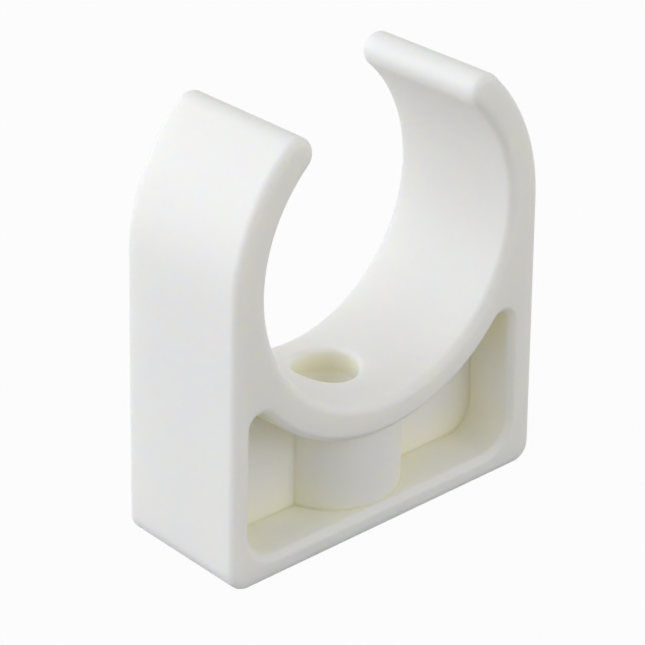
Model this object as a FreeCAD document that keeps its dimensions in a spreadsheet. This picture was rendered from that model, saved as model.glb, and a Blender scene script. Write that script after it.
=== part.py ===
"""Snap-in pipe clip, one injection moulding.

Frame: X across the clip, Y along the pipe, Z up from the mounting face. The origin is the
middle of the mounting face. Millimetres and degrees.
"""
import FreeCAD, Part
import math
import os

import Sketcher
from FreeCAD import Vector

SIZES = {
    "pipe_diameter": 40.0,
    "seat_clearance": 0.0,
    "axis_height": 38.0,
    "clip_depth": 20.4,
    "foot_width": 51.1,
    "waist_width": 49.5,
    "foot_corner_radius": 2.6,
    "lip_thickness": 4.5,
    "lip_angle": 47.5,
    "outline_rounding": 1.1,
    "cradle_wall": 4.3,
    "side_wall": 3.45,
    "floor_wall": 3.2,
    "web_thickness": 6.4,
    "cell_draft": 3.0,
    "cell_corner_radius": 4.2,
    "cell_peak_radius": 1.6,
    "cell_rim_bevel": 0.75,
    "cell_shift_x": -0.7,
    "pillar_diameter": 18.5,
    "pillar_shift_x": -1.0,
    "pillar_shift_y": 0.1,
    "screw_shift_x": -0.4,
    "screw_shift_y": 1.6,
    "head_recess_diameter": 8.7,
    "head_recess_depth": 2.9,
    "countersink_angle": 90.0,
    "screw_hole_diameter": 4.5,
    "recess_rim_rounding": 0.8,
}

# How far a cut runs past the face that it leaves by.
OVERSHOOT = 1.0
# A rounding on both sides of a wall takes at most this share of it on each.
ROUNDING_SHARE = 0.45
# Within this distance a face lies in a plane.
TOLERANCE = 1e-6

# Numbers by which a sketch knows an edge's two ends and its centre, and its own axes.
START, END, CENTRE = range(1, 4)
X_AXIS, Y_AXIS = range(-1, -3, -1)
ORIGIN = X_AXIS
WHOLE_TURN = 360.0
HALF_TURN = 180.0
QUARTER_TURN = 90.0


def polar(centre, radius, angle):
    """Point at an angle in degrees on a circle."""
    turn = math.radians(angle)
    return centre + Vector(radius * math.cos(turn), radius * math.sin(turn), 0)


def bearing(start, end):
    """Angle in degrees of the way from one point to another."""
    way = end - start
    return math.degrees(math.atan2(way.y, way.x))


def mirrored(point):
    """Point on the other side of the sketch's upright axis."""
    return Vector(-point.x, point.y, 0)


def origin_plane(body, role):
    """One of the body's own three planes."""
    return [item for item in body.Origin.OriginFeatures if item.Role == role][0]


class Outline:
    """A sketch with named, bound dimensions."""

    def __init__(self, body, name, plane_role, **shifts):
        """Lay the sketch on an origin plane, moved along its own x, y or z by named shifts."""
        self.sketch = body.newObject("Sketcher::SketchObject", name)
        self.sketch.AttachmentSupport = [(origin_plane(body, plane_role), "")]
        self.sketch.MapMode = "FlatFace"
        for axis, shift in shifts.items():
            self.sketch.setExpression("AttachmentOffset.Base." + axis, shift)

    def line(self, start, end, construction=False):
        """Add a straight edge and return its number."""
        return self.sketch.addGeometry(Part.LineSegment(start, end), construction)

    def point(self, place):
        """Add a construction point and return its number."""
        return self.sketch.addGeometry(Part.Point(place), True)

    def arc(self, centre, radius, first, last):
        """Add an arc that runs anticlockwise between two angles in degrees."""
        circle = Part.Circle(centre, Vector(0, 0, 1), radius)
        while last < first:
            last += WHOLE_TURN
        edge = Part.ArcOfCircle(circle, math.radians(first), math.radians(last))
        return self.sketch.addGeometry(edge, False)

    def rule(self, kind, *references):
        """Add a constraint and return its number."""
        return self.sketch.addConstraint(Sketcher.Constraint(kind, *references))

    def join(self, kind, chain):
        """Join a closed chain of (edge, start end, finish end) with one kind of constraint."""
        for here, after in zip(chain, chain[1:] + chain[:1]):
            self.rule(kind, here[0], here[2], after[0], after[1])

    def bind(self, name, kind, references, value, expression):
        """Add a dimension and tie it to the sheet."""
        number = self.rule(kind, *references, value)
        self.sketch.renameConstraint(number, name)
        self.sketch.setExpression("Constraints." + name, expression)


def fill_sheet(document):
    """Put the driving dimensions into the sheet, one named cell each."""
    sheet = document.addObject("Spreadsheet::Sheet", "Sizes")
    for row, (alias, value) in enumerate(SIZES.items(), start=1):
        sheet.set("A%d" % row, alias.replace("_", " "))
        sheet.set("B%d" % row, "%g" % value)
        sheet.setAlias("B%d" % row, alias)
    return sheet


def right_side():
    """Foot and waist of the leaning right side, and the bearing that its outside faces."""
    foot = Vector(SIZES["foot_width"] / 2, 0, 0)
    waist = Vector(SIZES["waist_width"] / 2, SIZES["axis_height"], 0)
    return foot, waist, bearing(foot, waist) - QUARTER_TURN


def arm_guess(seat_centre):
    """First places for the arm's curves, on the right of the clip.

    The outer arc leaves the side wall at the waist and closes on the lip's nose without a
    corner. Returns the nose's centre, and the arc's centre and radius.
    """
    nose_radius = SIZES["lip_thickness"] / 2
    seat_radius = SIZES["pipe_diameter"] / 2 + SIZES["seat_clearance"]
    nose = polar(seat_centre, seat_radius + nose_radius, SIZES["lip_angle"])
    _, waist, lean = right_side()
    outward = polar(Vector(), 1, lean)
    reach = waist - nose
    radius = (reach.dot(reach) - nose_radius ** 2) / (2 * (reach.dot(outward) - nose_radius))
    return nose, waist - outward * radius, radius


def inset_point(inset, height):
    """Point at a height on the line that runs at an inset inside the right side."""
    foot, waist, lean = right_side()
    outside = foot + (waist - foot) * (height / waist.y)
    return outside - Vector(inset / math.cos(math.radians(lean)), 0, 0)


def peak_guess(seat_centre, inset, reach):
    """Where the line at an inset inside the right side lies at a reach below the seat's centre."""
    foot, waist, _ = right_side()
    way = (waist - foot).normalize()
    offset = inset_point(inset, 0) - seat_centre
    along = offset.dot(way)
    return seat_centre + offset - way * (along + math.sqrt(along ** 2 - offset.dot(offset) + reach ** 2))


def draw_profile(body):
    """Draw the clip's outline, foot, arms and seat, as seen along the pipe."""
    drawing = Outline(body, "ProfileSketch", "XZ_Plane")
    seat_centre = Vector(0, SIZES["axis_height"], 0)
    seat_radius = SIZES["pipe_diameter"] / 2 + SIZES["seat_clearance"]
    nose_radius = SIZES["lip_thickness"] / 2
    lip_angle = SIZES["lip_angle"]
    nose, arm_centre, arm_radius = arm_guess(seat_centre)
    foot, waist, lean = right_side()
    corner_radius = SIZES["foot_corner_radius"]
    outward = polar(Vector(), 1, lean)
    corner_x = foot.x - corner_radius * (1 + outward.y) / outward.x
    corner = Vector(corner_x, corner_radius, 0)
    side_start = corner + outward * corner_radius
    arm_end = bearing(arm_centre, nose)

    base = drawing.line(Vector(-corner_x, 0, 0), Vector(corner_x, 0, 0))
    right_corner = drawing.arc(corner, corner_radius, -QUARTER_TURN, lean)
    right_wall = drawing.line(side_start, waist)
    right_arm = drawing.arc(arm_centre, arm_radius, lean, arm_end)
    right_nose = drawing.arc(nose, nose_radius, arm_end, lip_angle + HALF_TURN)
    seat = drawing.arc(seat_centre, seat_radius, HALF_TURN - lip_angle, WHOLE_TURN + lip_angle)
    left_nose = drawing.arc(mirrored(nose), nose_radius, -lip_angle, HALF_TURN - arm_end)
    left_arm = drawing.arc(mirrored(arm_centre), arm_radius, HALF_TURN - arm_end, HALF_TURN - lean)
    left_wall = drawing.line(mirrored(waist), mirrored(side_start))
    left_corner = drawing.arc(mirrored(corner), corner_radius, HALF_TURN - lean, WHOLE_TURN - QUARTER_TURN)

    # The seat and its neighbours meet as they turn opposite ways round the outline.
    drawing.join("Tangent", [
        (base, START, END), (right_corner, START, END), (right_wall, START, END),
        (right_arm, START, END), (right_nose, START, END), (seat, END, START),
        (left_nose, START, END), (left_arm, START, END), (left_wall, START, END),
        (left_corner, START, END),
    ])
    drawing.rule("Horizontal", base)
    drawing.rule("PointOnObject", base, START, X_AXIS)
    drawing.rule("PointOnObject", seat, CENTRE, Y_AXIS)
    drawing.rule("Equal", right_corner, left_corner)
    drawing.rule("Equal", right_nose, left_nose)
    drawing.rule("Symmetric", right_wall, END, left_wall, START, Y_AXIS)
    seat_size = "Sizes.pipe_diameter / 2 + Sizes.seat_clearance"
    axis_height = "Sizes.axis_height"
    drawing.bind("axis_height", "DistanceY", (ORIGIN, START, seat, CENTRE), seat_centre.y, axis_height)
    drawing.bind("seat_radius", "Radius", (seat,), seat_radius, seat_size)
    drawing.bind("corner_radius", "Radius", (right_corner,), corner_radius, "Sizes.foot_corner_radius")
    drawing.bind("nose_radius", "Radius", (right_nose,), nose_radius, "Sizes.lip_thickness / 2")
    drawing.bind("waist_height", "DistanceY", (ORIGIN, START, right_wall, END), waist.y, axis_height)
    half_waist = "Sizes.waist_width / 2"
    drawing.bind("waist_reach", "DistanceX", (ORIGIN, START, right_wall, END), waist.x, half_waist)

    # Each side wall leans along a line that starts where the foot's sharp corner would be.
    right_foot = drawing.point(foot)
    left_foot = drawing.point(mirrored(foot))
    for sharp_foot, wall in ((right_foot, right_wall), (left_foot, left_wall)):
        drawing.rule("PointOnObject", sharp_foot, START, X_AXIS)
        drawing.rule("PointOnObject", sharp_foot, START, wall)
    half_foot = "Sizes.foot_width / 2"
    drawing.bind("right_foot", "DistanceX", (ORIGIN, START, right_foot, START), foot.x, half_foot)
    drawing.bind("left_foot", "DistanceX", (left_foot, START, ORIGIN, START), foot.x, half_foot)

    # A spoke from the seat's centre sets how far the lips close over the pipe.
    spoke = drawing.line(seat_centre, nose, construction=True)
    drawing.rule("Coincident", spoke, START, seat, CENTRE)
    drawing.rule("Coincident", spoke, END, right_nose, CENTRE)
    drawing.rule("Horizontal", right_nose, CENTRE, left_nose, CENTRE)
    drawing.bind("lip_angle", "Angle", (spoke,), math.radians(lip_angle), "Sizes.lip_angle")
    return drawing.sketch


def draw_cell(body):
    """Draw the hollow below the seat as seen from the front, pillar left out."""
    drawing = Outline(body, "CellSketch", "XZ_Plane", x="Sizes.cell_shift_x", z="Sizes.clip_depth / 2")
    seat_centre = Vector(0, SIZES["axis_height"], 0)
    roof_radius = SIZES["pipe_diameter"] / 2 + SIZES["seat_clearance"] + SIZES["cradle_wall"]
    wall = SIZES["side_wall"]
    floor = SIZES["floor_wall"]
    corner_radius = SIZES["cell_corner_radius"]
    peak_radius = SIZES["cell_peak_radius"]
    foot, waist, lean = right_side()
    outward = polar(Vector(), 1, lean)
    corner = inset_point(wall + corner_radius, floor + corner_radius)
    peak = peak_guess(seat_centre, wall + peak_radius, roof_radius + peak_radius)
    wall_foot = corner + outward * corner_radius
    wall_top = peak + outward * peak_radius
    roof_start = bearing(seat_centre, peak)

    base = drawing.line(Vector(-corner.x, floor, 0), Vector(corner.x, floor, 0))
    right_corner = drawing.arc(corner, corner_radius, -QUARTER_TURN, lean)
    right_wall = drawing.line(wall_foot, wall_top)
    right_peak = drawing.arc(peak, peak_radius, lean, roof_start + HALF_TURN)
    roof = drawing.arc(seat_centre, roof_radius, HALF_TURN - roof_start, roof_start)
    left_peak = drawing.arc(mirrored(peak), peak_radius, -roof_start, HALF_TURN - lean)
    left_wall = drawing.line(mirrored(wall_top), mirrored(wall_foot))
    left_corner = drawing.arc(mirrored(corner), corner_radius, HALF_TURN - lean, WHOLE_TURN - QUARTER_TURN)

    drawing.join("Tangent", [
        (base, START, END), (right_corner, START, END), (right_wall, START, END),
        (right_peak, START, END), (roof, END, START), (left_peak, START, END),
        (left_wall, START, END), (left_corner, START, END),
    ])
    drawing.rule("Horizontal", base)
    drawing.rule("Equal", right_corner, left_corner)
    drawing.rule("Equal", right_peak, left_peak)
    drawing.rule("PointOnObject", roof, CENTRE, Y_AXIS)
    roof_size = "Sizes.pipe_diameter / 2 + Sizes.seat_clearance + Sizes.cradle_wall"
    axis_height = "Sizes.axis_height"
    drawing.bind("axis_height", "DistanceY", (ORIGIN, START, roof, CENTRE), seat_centre.y, axis_height)
    drawing.bind("roof_radius", "Radius", (roof,), roof_radius, roof_size)
    drawing.bind("floor_height", "DistanceY", (ORIGIN, START, base, START), floor, "Sizes.floor_wall")
    drawing.bind("corner_radius", "Radius", (right_corner,), corner_radius, "Sizes.cell_corner_radius")
    drawing.bind("peak_radius", "Radius", (right_peak,), peak_radius, "Sizes.cell_peak_radius")

    # The cell's sides run parallel to the clip's leaning sides.
    right_guide = drawing.line(foot, waist, construction=True)
    left_guide = drawing.line(mirrored(foot), mirrored(waist), construction=True)
    drawing.rule("PointOnObject", right_guide, START, X_AXIS)
    drawing.rule("Symmetric", right_guide, START, left_guide, START, Y_AXIS)
    drawing.rule("Symmetric", right_guide, END, left_guide, END, Y_AXIS)
    half_foot = "Sizes.foot_width / 2"
    half_waist = "Sizes.waist_width / 2"
    drawing.bind("foot_reach", "DistanceX", (ORIGIN, START, right_guide, START), foot.x, half_foot)
    drawing.bind("waist_reach", "DistanceX", (ORIGIN, START, right_guide, END), waist.x, half_waist)
    drawing.bind("waist_height", "DistanceY", (ORIGIN, START, right_guide, END), waist.y, axis_height)
    drawing.rule("Parallel", right_guide, right_wall)
    drawing.rule("Parallel", left_guide, left_wall)
    drawing.bind("right_thickness", "Distance", (right_wall, START, right_guide), wall, "Sizes.side_wall")
    drawing.bind("left_thickness", "Distance", (left_wall, START, left_guide), wall, "Sizes.side_wall")
    return drawing.sketch


def draw_pillar(body):
    """Draw the pillar's circle inside the floor wall, so that its foot stays hidden."""
    drawing = Outline(body, "PillarSketch", "XY_Plane",
                      x="Sizes.pillar_shift_x", y="Sizes.pillar_shift_y", z="Sizes.floor_wall / 2")
    circle = Part.Circle(Vector(), Vector(0, 0, 1), SIZES["pillar_diameter"] / 2)
    ring = drawing.sketch.addGeometry(circle, False)
    drawing.rule("Coincident", ring, CENTRE, ORIGIN, START)
    drawing.bind("diameter", "Diameter", (ring,), SIZES["pillar_diameter"], "Sizes.pillar_diameter")
    return drawing.sketch


def draw_screw_way(body):
    """Draw half the section of the screw's recess, countersink and hole."""
    drawing = Outline(body, "ScrewSketch", "XZ_Plane", x="Sizes.screw_shift_x", z="-Sizes.screw_shift_y")
    hole = SIZES["screw_hole_diameter"] / 2
    recess = SIZES["head_recess_diameter"] / 2
    seat_radius = SIZES["pipe_diameter"] / 2 + SIZES["seat_clearance"]
    top = SIZES["axis_height"]
    ledge = top - seat_radius - SIZES["head_recess_depth"]
    half_angle = SIZES["countersink_angle"] / 2
    cone_foot = ledge - (recess - hole) / math.tan(math.radians(half_angle))
    corners = [
        Vector(0, -OVERSHOOT, 0), Vector(hole, -OVERSHOOT, 0), Vector(hole, cone_foot, 0),
        Vector(recess, ledge, 0), Vector(recess, top, 0), Vector(0, top, 0),
    ]
    edges = [drawing.line(here, after) for here, after in zip(corners, corners[1:] + corners[:1])]
    below, shank, cone, wall, above, axis = edges
    drawing.join("Coincident", [(edge, START, END) for edge in edges])
    for edge in (below, above):
        drawing.rule("Horizontal", edge)
    for edge in (shank, wall):
        drawing.rule("Vertical", edge)
    drawing.rule("PointOnObject", axis, START, Y_AXIS)
    drawing.rule("PointOnObject", axis, END, Y_AXIS)
    seat_bottom = "Sizes.axis_height - Sizes.pipe_diameter / 2 - Sizes.seat_clearance"
    drawing.bind("overshoot", "DistanceY", (below, START, ORIGIN, START), OVERSHOOT, "%g" % OVERSHOOT)
    hole_size = "Sizes.screw_hole_diameter / 2"
    drawing.bind("hole_radius", "DistanceX", (below, START, below, END), hole, hole_size)
    recess_size = "Sizes.head_recess_diameter / 2"
    drawing.bind("recess_radius", "DistanceX", (above, END, above, START), recess, recess_size)
    drawing.bind("top_height", "DistanceY", (ORIGIN, START, axis, START), top, "Sizes.axis_height")
    drawing.bind("ledge_height", "DistanceY", (ORIGIN, START, cone, END), ledge,
                 seat_bottom + " - Sizes.head_recess_depth")
    slope = math.radians(QUARTER_TURN - half_angle)
    drawing.bind("cone_slope", "Angle", (cone,), slope, "90 - Sizes.countersink_angle / 2")
    return drawing.sketch


def rim_edges(shape, outline):
    """Names of the edges round the clip's front and back faces.

    With outline set they are the clip's outline, otherwise the rims of its cells.
    """
    reach = SIZES["clip_depth"] / 2
    chosen = []
    for face in shape.Faces:
        box = face.BoundBox
        if box.YLength > TOLERANCE or abs(abs(box.YMin) - reach) > TOLERANCE:
            continue
        for wire in face.Wires:
            if wire.isSame(face.OuterWire) == outline:
                chosen.extend(wire.Edges)
    return edge_names(shape, chosen)


def recess_edges(shape):
    """Names of the edges where the screw's recess opens into the seat."""
    recess_radius = SIZES["head_recess_diameter"] / 2
    chosen = []
    for face in shape.Faces:
        surface = face.Surface
        if surface.TypeId == "Part::GeomCylinder" and abs(surface.Radius - recess_radius) < TOLERANCE:
            curved = [edge for edge in face.Edges if edge.Curve.TypeId != "Part::GeomLine"]
            chosen.extend(edge for edge in curved if edge.BoundBox.ZLength > TOLERANCE)
    return edge_names(shape, chosen)


def edge_names(shape, chosen):
    """Names under which a shape holds the chosen edges."""
    return ["Edge%d" % number for number, edge in enumerate(shape.Edges, start=1)
            if any(edge.isSame(other) for other in chosen)]


def ease(body, kind, name, edges, size, walls=()):
    """Round or bevel edges of the body's latest shape by a size of the sheet.

    The edges may run along both sides of walls, given as expressions, that limit a rounding.
    """
    base = body.Tip
    amount = {"Fillet": "Radius", "Chamfer": "Size"}[kind]
    feature = body.newObject("PartDesign::" + kind, name)
    feature.Base = (base, edges)
    setattr(feature, amount, SIZES[size])
    limits = ["%g * (%s)" % (ROUNDING_SHARE, wall) for wall in walls]
    feature.setExpression(amount, "min(%s)" % "; ".join(["Sizes." + size] + limits))
    body.Document.recompute()
    return feature


def mould_clip(document):
    """Build the clip: outline, roundings, cells, pillar and the way for the screw."""
    body = document.addObject("PartDesign::Body", "Clip")
    body.Label = "pipe_clip"

    block = body.newObject("PartDesign::Pad", "Block")
    block.Profile = draw_profile(body)
    block.SideType = "Symmetric"
    block.setExpression("Length", "Sizes.clip_depth")
    document.recompute()
    outline = rim_edges(block.Shape, outline=True)
    arm_wall = "(Sizes.waist_width - Sizes.pipe_diameter) / 2 - Sizes.seat_clearance"
    ease(body, "Fillet", "OutlineRounding", outline, "outline_rounding", (arm_wall, "Sizes.lip_thickness"))

    cell = body.newObject("PartDesign::Pocket", "FrontCell")
    cell.Profile = draw_cell(body)
    cell.Type = "Length"
    cell.setExpression("Length", "(Sizes.clip_depth - Sizes.web_thickness) / 2")
    cell.setExpression("TaperAngle", "-Sizes.cell_draft")
    document.recompute()
    pair = body.newObject("PartDesign::Mirrored", "BothCells")
    pair.Originals = [cell]
    pair.MirrorPlane = (origin_plane(body, "XZ_Plane"), [""])
    body.Tip = pair
    document.recompute()
    ease(body, "Chamfer", "CellRimBevel", rim_edges(pair.Shape, outline=False), "cell_rim_bevel")

    pillar = body.newObject("PartDesign::Pad", "Pillar")
    pillar.Profile = draw_pillar(body)
    # The pillar ends a quarter of the wall below the seat, inside the cradle.
    seat_bottom = "Sizes.axis_height - Sizes.pipe_diameter / 2 - Sizes.seat_clearance"
    pillar.setExpression("Length", seat_bottom + " - Sizes.cradle_wall / 4 - Sizes.floor_wall / 2")
    document.recompute()

    screw_way = body.newObject("PartDesign::Groove", "ScrewWay")
    screw_way.Profile = draw_screw_way(body)
    screw_way.ReferenceAxis = (screw_way.Profile[0], ["V_Axis"])
    screw_way.Angle = WHOLE_TURN
    document.recompute()
    ease(body, "Fillet", "RecessRimRounding", recess_edges(screw_way.Shape), "recess_rim_rounding")
    return body


def check(document, bodies):
    """Stop when a feature failed or a body is not one sound solid."""
    for item in document.Objects:
        if "Invalid" in item.State or "Error" in item.State:
            raise RuntimeError("%s failed: %s" % (item.Name, item.State))
    for body in bodies:
        shape = body.Shape
        if shape.isNull() or not shape.isValid() or len(shape.Solids) != 1:
            raise RuntimeError("%s is not one valid solid" % body.Label)


def check_cuts(body):
    """Stop when a cut took nothing away or a pad added nothing."""
    features = [item for item in body.Group if item.isDerivedFrom("PartDesign::Feature")]
    volumes = [(item.Name, item.Shape.Volume) for item in features]
    for (_, before), (name, after) in zip(volumes, volumes[1:]):
        if abs(after - before) < TOLERANCE:
            raise RuntimeError("%s changed nothing" % name)


document = FreeCAD.newDocument("PipeClip")
fill_sheet(document)
document.recompute()
clip = mould_clip(document)
document.recompute()
check(document, [clip])
check_cuts(clip)

os.makedirs("parts", exist_ok=True)
clip.Shape.exportStep(os.path.join("parts", clip.Label + ".step"))
print("%s: %.1f mm3, box %s" % (clip.Label, clip.Shape.Volume, clip.Shape.BoundBox))
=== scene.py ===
"""Looks of a snap-in pipe clip, one off-white plastic moulding.

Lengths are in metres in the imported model's own frame: X across the clip, Y along the pipe,
Z up from the mounting face. Angles are in degrees.
"""
from __future__ import annotations

import logging
import math
from dataclasses import dataclass, field
from enum import Enum

import bpy
from mathutils import Matrix, Vector

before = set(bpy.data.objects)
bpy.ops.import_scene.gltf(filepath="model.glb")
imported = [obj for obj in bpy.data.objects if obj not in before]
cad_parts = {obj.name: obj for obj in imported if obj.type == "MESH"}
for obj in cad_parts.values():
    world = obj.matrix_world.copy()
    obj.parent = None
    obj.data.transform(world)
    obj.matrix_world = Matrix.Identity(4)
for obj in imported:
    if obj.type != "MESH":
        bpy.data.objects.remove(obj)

logger = logging.getLogger("pipe_clip")
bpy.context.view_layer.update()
PHOTO_WIDTH = 645
SENSOR_WIDTH_MM = 36.0
MM = 0.001
# The numbered inputs and the output of a Mix node that mixes colours.
MIX_SHARE, MIX_FIRST, MIX_SECOND, MIX_COLOUR = 0, 6, 7, 2
# Rays for each shading point, where a node casts some of its own.
SHADING_RAYS = 4

Colour = tuple[float, float, float]

WHITE: Colour = (1.0, 1.0, 1.0)
COOL: Colour = (0.955, 0.985, 1.06)
WARM: Colour = (1.01, 1.0, 0.975)


def opaque(colour: Colour) -> tuple[float, float, float, float]:
    """Add the fourth value that a node's colour input wants.

    Args:
        colour: red, green and blue.

    Returns:
        The same colour with full alpha.
    """
    return (*colour, 1.0)


def bearing(azimuth: float, elevation: float) -> Vector:
    """Find the direction in which a camera or lamp stands.

    Args:
        azimuth: the angle round the clip, from 0 in front, -90 on the left.
        elevation: the angle above the floor.

    Returns:
        A vector of length 1 from the clip to there.
    """
    turn, tilt = math.radians(azimuth), math.radians(elevation)
    return Vector((math.sin(turn) * math.cos(tilt), -math.cos(turn) * math.cos(tilt), math.sin(tilt)))


class Sum(Enum):
    """What a Math node does with its values."""

    ADD = "ADD"
    SUBTRACT = "SUBTRACT"
    MULTIPLY = "MULTIPLY"


class Spread(Enum):
    """Over which length a pattern in the plastic repeats, as cycles in a metre."""

    GRAIN = 1 / (0.35 * MM)
    RIPPLE = 1 / (7.0 * MM)
    CLOUD = 1 / (14.0 * MM)


class Wire:
    """A shader value that takes part in Python sums, and adds a Math node for each."""

    def __init__(self, graph: ShaderGraph, socket: bpy.types.NodeSocket) -> None:
        """Wrap one output socket of a graph."""
        self.graph = graph
        self.socket = socket

    def _math(self, kind: Sum, *values: Wire | float) -> Wire:
        """Add a Math node.

        Args:
            kind: what the node does.
            values: the node's inputs, in order.

        Returns:
            The node's result.
        """
        return self.graph.node("ShaderNodeMath", {"operation": kind.value}, dict(enumerate(values)))

    def __add__(self, other: Wire | float) -> Wire:
        """Add."""
        return self._math(Sum.ADD, self, other)

    __radd__ = __add__

    def __sub__(self, other: Wire | float) -> Wire:
        """Take a value from this one."""
        return self._math(Sum.SUBTRACT, self, other)

    def __rsub__(self, other: Wire | float) -> Wire:
        """Take this one from a value."""
        return self._math(Sum.SUBTRACT, other, self)

    def __mul__(self, other: Wire | float) -> Wire:
        """Multiply."""
        return self._math(Sum.MULTIPLY, self, other)

    __rmul__ = __mul__


class ShaderGraph:
    """The node tree of one material or of the world."""

    def __init__(self, owner: bpy.types.Material | bpy.types.World) -> None:
        """Start an owner's tree afresh.

        Args:
            owner: the material or world that the tree belongs to.
        """
        owner.use_nodes = True
        self.tree = owner.node_tree
        self.tree.nodes.clear()

    def node(
        self,
        kind: str,
        settings: dict[str, object] | None = None,
        inputs: dict[str | int, object] | None = None,
        output: str | int = 0,
    ) -> Wire:
        """Add one node.

        Args:
            kind: the node's type.
            settings: its properties, which are set first.
            inputs: a value or a wire for each named or numbered input.
            output: the name or number of the output to hand back.

        Returns:
            The chosen output.
        """
        made = self.tree.nodes.new(kind)
        for name, value in (settings or {}).items():
            setattr(made, name, value)
        for name, value in (inputs or {}).items():
            if isinstance(value, Wire):
                self.tree.links.new(value.socket, made.inputs[name])
            else:
                made.inputs[name].default_value = value
        return Wire(self, made.outputs[output] if made.outputs else None)


@dataclass(frozen=True)
class MouldedPlastic:
    """The clip's off-white plastic: a satin skin with a fine grain, with a warm painted shade in its
    hollows.

    Light that enters the plastic comes out again a few millimetres away. Where walls face each
    other it bounces many times over, and the plastic's faint yellow adds up there. The base colour
    also has a warm shade painted into the hollows that ambient occlusion finds.
    """

    skin: Colour = (0.90, 0.895, 0.87)
    cloud: Colour = (0.892, 0.886, 0.859)
    # Painted shade: the warm colour mixed into the base colour where ambient occlusion finds hollows,
    # the reach of that search, and the gain on how open a point is.
    painted_shade: Colour = (0.975, 0.932, 0.62)
    painted_shade_reach: float = 6.5 * MM
    painted_shade_onset: float = 1.05
    roughness: float = 0.47
    roughness_spread: float = 0.08
    cloud_share: float = 0.6
    refraction: float = 1.49
    scatter: float = 0.8
    scatter_depth: float = 3.0 * MM
    scatter_reach: Colour = (1.0, 0.85, 0.55)
    edge_softness: float = 0.55 * MM
    grain_height: float = 0.004 * MM
    ripple_height: float = 0.05 * MM

    def build(self, name: str) -> bpy.types.Material:
        """Make the material.

        Args:
            name: the material's name.

        Returns:
            The material.
        """
        material = bpy.data.materials.new(name)
        graph = ShaderGraph(material)
        place = graph.node("ShaderNodeTexCoord", output="Object")
        grain = self.pattern(graph, place, Spread.GRAIN, detail=2.0)
        ripple = self.pattern(graph, place, Spread.RIPPLE, detail=1.0)
        cloud = self.pattern(graph, place, Spread.CLOUD, detail=3.0)
        unevenness = self.cloud_share * cloud + (1 - self.cloud_share) * grain
        skin = graph.node(
            "ShaderNodeBsdfPrincipled",
            {"subsurface_method": "RANDOM_WALK"},
            {
                "Base Color": self.colour(graph, cloud),
                "Roughness": self.roughness + self.roughness_spread * unevenness,
                "Normal": self.surface(graph, grain, ripple),
                "IOR": self.refraction,
                "Subsurface Weight": self.scatter,
                "Subsurface Radius": self.scatter_reach,
                "Subsurface Scale": self.scatter_depth,
            },
        )
        graph.node("ShaderNodeOutputMaterial", None, {"Surface": skin})
        return material

    def pattern(self, graph: ShaderGraph, place: Wire, spread: Spread, detail: float) -> Wire:
        """Add one irregular pattern.

        Args:
            graph: the material's tree.
            place: the coordinates that it lies on.
            spread: the length over which it repeats.
            detail: how much finer structure it holds.

        Returns:
            Its strength, from 0 to 1.
        """
        inputs = {"Vector": place, "Scale": spread.value, "Detail": detail, "Roughness": 0.5}
        return graph.node("ShaderNodeTexNoise", None, inputs)

    def colour(self, graph: ShaderGraph, cloud: Wire) -> Wire:
        """Mix the skin's faint clouds and a warm painted shade in the hollows that ambient occlusion
        finds.

        Args:
            graph: the material's tree.
            cloud: the slow pattern in the plastic.

        Returns:
            The plastic's colour, with the painted shade in it.
        """
        clouded = self.mix(graph, cloud, self.skin, self.cloud)
        settings = {"samples": SHADING_RAYS, "only_local": True}
        reach = {"Distance": self.painted_shade_reach}
        # Painted shade: where ambient occlusion finds the surface closed in, the base colour turns to
        # the warm painted shade.
        unshaded = graph.node("ShaderNodeAmbientOcclusion", settings, reach, "AO")
        return self.mix(graph, unshaded * self.painted_shade_onset, self.painted_shade, clouded)

    def mix(self, graph: ShaderGraph, share: Wire, none: Wire | Colour, full: Wire | Colour) -> Wire:
        """Mix two colours.

        Args:
            graph: the material's tree.
            share: the share of the second colour.
            none: the colour at a share of 0.
            full: the colour at a share of 1.

        Returns:
            The mixed colour.
        """
        first, second = (end if isinstance(end, Wire) else opaque(end) for end in (none, full))
        inputs = {MIX_SHARE: share, MIX_FIRST: first, MIX_SECOND: second}
        return graph.node("ShaderNodeMix", {"data_type": "RGBA"}, inputs, MIX_COLOUR)

    def surface(self, graph: ShaderGraph, grain: Wire, ripple: Wire) -> Wire:
        """Round the hard edges' shading and lay grain and ripples over the skin.

        Args:
            graph: the material's tree.
            grain: the fine pattern.
            ripple: the slow pattern.

        Returns:
            The shading normal.
        """
        radius = {"Radius": self.edge_softness}
        rounded = graph.node("ShaderNodeBevel", {"samples": SHADING_RAYS}, radius)
        height = grain * self.grain_height + ripple * self.ripple_height
        relief = {"Distance": 1.0, "Height": height, "Normal": rounded}
        return graph.node("ShaderNodeBump", None, relief)


@dataclass(frozen=True)
class StudioFloor:
    """A white floor that the camera sees as the backdrop, with the object's shadow on it."""

    colour: Colour = (0.43, 0.43, 0.43)
    backdrop_share: float = 0.96

    def build(self, name: str) -> bpy.types.Material:
        """Make the material.

        Args:
            name: the material's name.

        Returns:
            The material.
        """
        material = bpy.data.materials.new(name)
        graph = ShaderGraph(material)
        path = "ShaderNodeLightPath"
        seen = graph.node(path, output="Is Camera Ray") + graph.node(path, output="Is Glossy Ray")
        paint = graph.node("ShaderNodeBsdfDiffuse", None, {"Color": opaque(self.colour)})
        glow = graph.node("ShaderNodeEmission", None, {"Color": opaque(WHITE), "Strength": 1.0})
        share = seen * self.backdrop_share
        mixed = graph.node("ShaderNodeMixShader", None, {0: share, 1: paint, 2: glow})
        graph.node("ShaderNodeOutputMaterial", None, {"Surface": mixed})
        return material


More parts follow.
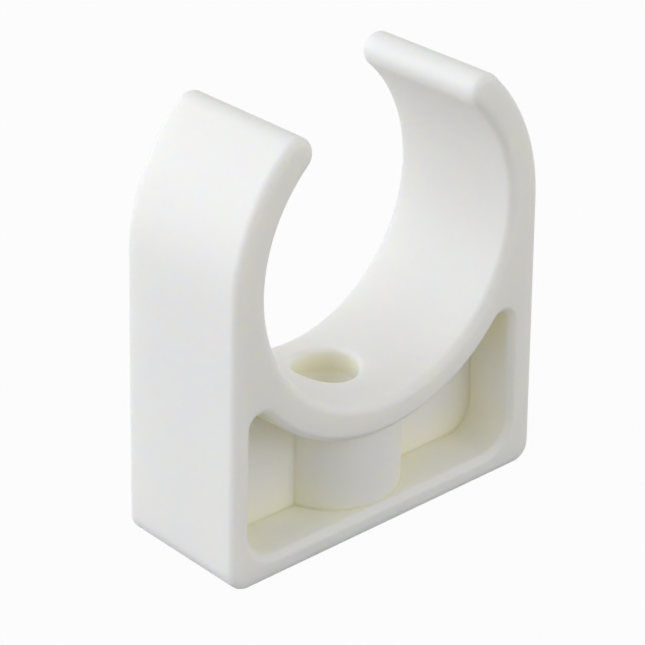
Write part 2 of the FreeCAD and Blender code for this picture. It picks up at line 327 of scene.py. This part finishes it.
@dataclass
class Viewpoint:
    """The photograph's camera: an orbit round a point, with a slight roll."""

    azimuth: float = -42.183
    elevation: float = 27.233
    roll: float = 0.581
    distance: float = 309.49 * MM
    focal_pixels: float = 2519.2
    centre_height: float = 31.43 * MM
    side_step: float = -1.768 * MM
    rise: float = -6.055 * MM
    nearest: float = 10 * MM

    def build(self) -> bpy.types.Object:
        """Make the camera and hand it to the scene.

        Returns:
            The camera.
        """
        back = bearing(self.azimuth, self.elevation)
        roll = math.radians(self.roll)
        level = Vector((0, 0, 1)).cross(back).normalized()
        upright = back.cross(level)
        right = level * math.cos(roll) + upright * math.sin(roll)
        up = upright * math.cos(roll) - level * math.sin(roll)
        target = Vector((0, 0, self.centre_height)) + right * self.side_step + up * self.rise
        data = bpy.data.cameras.new("camera")
        data.sensor_width = SENSOR_WIDTH_MM
        data.lens = self.focal_pixels / PHOTO_WIDTH * SENSOR_WIDTH_MM
        data.clip_start = self.nearest
        camera = bpy.data.objects.new("camera", data)
        turned = Matrix((right, up, back)).transposed().to_4x4()
        camera.matrix_world = Matrix.Translation(target + back * self.distance) @ turned
        bpy.context.scene.collection.objects.link(camera)
        bpy.context.scene.camera = camera
        return camera


@dataclass(frozen=True)
class Softbox:
    """One square lamp that faces the object's middle."""

    name: str
    azimuth: float
    elevation: float
    distance: float
    power: float
    tint: Colour
    size: float = 0.6

    def build(self, target: Vector) -> bpy.types.Object:
        """Make the lamp.

        Args:
            target: the point that it faces.

        Returns:
            The lamp.
        """
        away = bearing(self.azimuth, self.elevation)
        data = bpy.data.lights.new(self.name, "AREA")
        data.shape = "SQUARE"
        data.size = self.size
        data.energy = self.power
        data.color = self.tint
        lamp = bpy.data.objects.new(self.name, data)
        turned = away.to_track_quat("Z", "Y").to_matrix().to_4x4()
        lamp.matrix_world = Matrix.Translation(target + away * self.distance) @ turned
        bpy.context.scene.collection.objects.link(lamp)
        return lamp


@dataclass
class Studio:
    """Floor, world, lamps and camera."""

    floor_span: float = 6.0
    ambient: float = 0.545
    target: Vector = field(default_factory=lambda: Vector((0, 0, 0.03)))
    lamps: tuple[Softbox, ...] = (
        Softbox("left_softbox", -100.0, 5.0, distance=0.6, power=1.27, tint=COOL),
        Softbox("back_softbox", -144.0, 22.0, distance=0.7, power=2.37, tint=COOL),
        Softbox("front_softbox", 30.0, 16.0, distance=0.7, power=1.32, tint=WARM),
    )

    def build(self) -> None:
        """Set up everything round the object."""
        self.lay_floor()
        self.light_world()
        for lamp in self.lamps:
            lamp.build(self.target)
        Viewpoint().build()

    def lay_floor(self) -> None:
        """Lay the floor under the mounting face."""
        half = self.floor_span / 2
        mesh = bpy.data.meshes.new("floor")
        corners = [(-half, -half, 0), (half, -half, 0), (half, half, 0), (-half, half, 0)]
        mesh.from_pydata(corners, [], [(0, 1, 2, 3)])
        mesh.materials.append(StudioFloor().build("floor_white"))
        floor = bpy.data.objects.new("floor", mesh)
        bpy.context.scene.collection.objects.link(floor)

    def light_world(self) -> None:
        """Give a plain light from all round, behind which the camera sees white."""
        world = bpy.data.worlds.new("studio")
        bpy.context.scene.world = world
        graph = ShaderGraph(world)
        seen = graph.node("ShaderNodeLightPath", output="Is Camera Ray")
        plain = {"Color": opaque(WHITE)}
        room = graph.node("ShaderNodeBackground", None, plain | {"Strength": self.ambient})
        white = graph.node("ShaderNodeBackground", None, plain | {"Strength": 1.0})
        mixed = graph.node("ShaderNodeMixShader", None, {0: seen, 1: room, 2: white})
        graph.node("ShaderNodeOutputWorld", None, {"Surface": mixed})


@dataclass
class PipeClip:
    """The moulding."""

    node: str = "pipe_clip"
    plastic: MouldedPlastic = MouldedPlastic()

    def build(self) -> bpy.types.Object:
        """Dress the moulding.

        Returns:
            The moulding's object.
        """
        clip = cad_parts[self.node]
        clip.data.materials.clear()
        clip.data.materials.append(self.plastic.build("plastic"))
        logger.info("%s: %d faces", clip.name, len(clip.data.polygons))
        return clip


def main() -> None:
    """Build the studio and the clip."""
    logging.basicConfig(level=logging.INFO)
    bpy.context.scene.view_settings.view_transform = "Standard"
    Studio().build()
    PipeClip().build()


if __name__ == "__main__":
    main()
